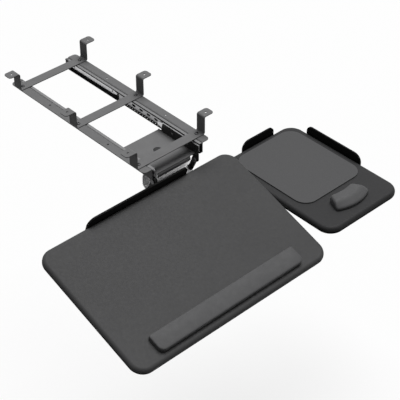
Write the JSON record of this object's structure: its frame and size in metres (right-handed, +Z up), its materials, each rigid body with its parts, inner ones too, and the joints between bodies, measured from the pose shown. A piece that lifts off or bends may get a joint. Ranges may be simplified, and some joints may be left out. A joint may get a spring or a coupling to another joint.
{
  "type": "under-desk keyboard tray",
  "caption": "Keyboard and mouse trays on a tilting arm and ball bearing slides, hung under a desk by bent cross hangers.",
  "frame": {"origin": "Middle of the six-hole desk screw pattern, in the plane of the desk's underside, on top of the hanger feet.", "axes": "+X is the user's right, +Y points to the back of the desk, +Z is up and square to the desk."},
  "size_m": [0.8181, 0.8219, 0.2315],
  "materials": {
    "frame_steel": "satin grey powder coat",
    "carriage_steel": "satin grey powder coat",
    "slide_black": "black passivated steel",
    "zinc_steel": "bright zinc plate",
    "screw_steel": "zinc plated",
    "arm_silver": "light grey coat",
    "bracket_black": "black powder coat",
    "stop_black": "black powder coat",
    "tray_board": "fine textured dark grey",
    "mouse_tray_board": "fine textured darker grey",
    "pad_rubber": "matte woven face",
    "rest_cover": "soft dark grey cover over foam",
    "palm_cover": "soft dark grey cover over gel",
    "knob_plastic": "black moulded",
    "bumper_rubber": "black"
  },
  "bodies": {
    "frame": {"rail_left": "frame_steel", "rail_right": "frame_steel", "hanger_front": "frame_steel", "hanger_middle": "frame_steel", "hanger_back": "frame_steel", "hanger_screws": "screw_steel", "slide_channel_left": "slide_black", "slide_channel_right": "slide_black", "slide_strip_left": "zinc_steel", "slide_strip_right": "zinc_steel", "bumper_left": "bumper_rubber", "bumper_right": "bumper_rubber"},
    "left_cage": {"ball_cage_left": "slide_black"},
    "right_cage": {"ball_cage_right": "slide_black"},
    "carriage_unit": {"slide_runner_left": "zinc_steel", "slide_runner_right": "zinc_steel", "carriage": "carriage_steel"},
    "arm_unit": {"pivot_bolts": "screw_steel", "arm_plate": "arm_silver", "arm_lug_left": "bracket_black", "arm_lug_right": "bracket_black"},
    "keyboard_unit": {"tilt_shaft": "screw_steel", "tilt_knob": "knob_plastic", "board_bracket": "bracket_black", "keyboard_board": "tray_board", "back_stop": "stop_black", "keyboard_wrist_rest": "rest_cover", "mouse_arm": "bracket_black"},
    "mouse_unit": {"mouse_bracket": "bracket_black", "mouse_board": "mouse_tray_board", "mouse_pad": "pad_rubber", "mouse_wrist_rest": "palm_cover", "mouse_back_stop": "stop_black", "mouse_side_stop": "stop_black", "mouse_shaft": "screw_steel", "mouse_knob": "knob_plastic"}
  },
  "joints": [
    {"name": "carriage_slide", "type": "slide", "parent": "frame", "child": "carriage_unit", "axis": [0, 1, 0], "range_m": [0, 0.3]},
    {"name": "left_cage_slide", "type": "slide", "parent": "frame", "child": "left_cage", "axis": [0, 1, 0], "range_m": [0, 0.15]},
    {"name": "right_cage_slide", "type": "slide", "parent": "frame", "child": "right_cage", "axis": [0, 1, 0], "range_m": [0, 0.15]},
    {"name": "arm_lift", "type": "hinge", "parent": "carriage_unit", "child": "arm_unit", "pos_m": [0, -0.235, -0.092], "axis": [1, 0, 0], "range_deg": [0, 12]},
    {"name": "tray_tilt", "type": "hinge", "parent": "arm_unit", "child": "keyboard_unit", "pos_m": [0, -0.2813, -0.151], "axis": [1, 0, 0], "range_deg": [0, 17]},
    {"name": "mouse_tilt", "type": "hinge", "parent": "keyboard_unit", "child": "mouse_unit", "pos_m": [0.22, -0.34003, -0.21291], "axis": [1, 0, 0], "range_deg": [-10, 12]}
  ],
  "couplings": [
    {"joint": "left_cage_slide", "follows": "carriage_slide", "ratio": 0.5},
    {"joint": "right_cage_slide", "follows": "carriage_slide", "ratio": 0.5}
  ]
}
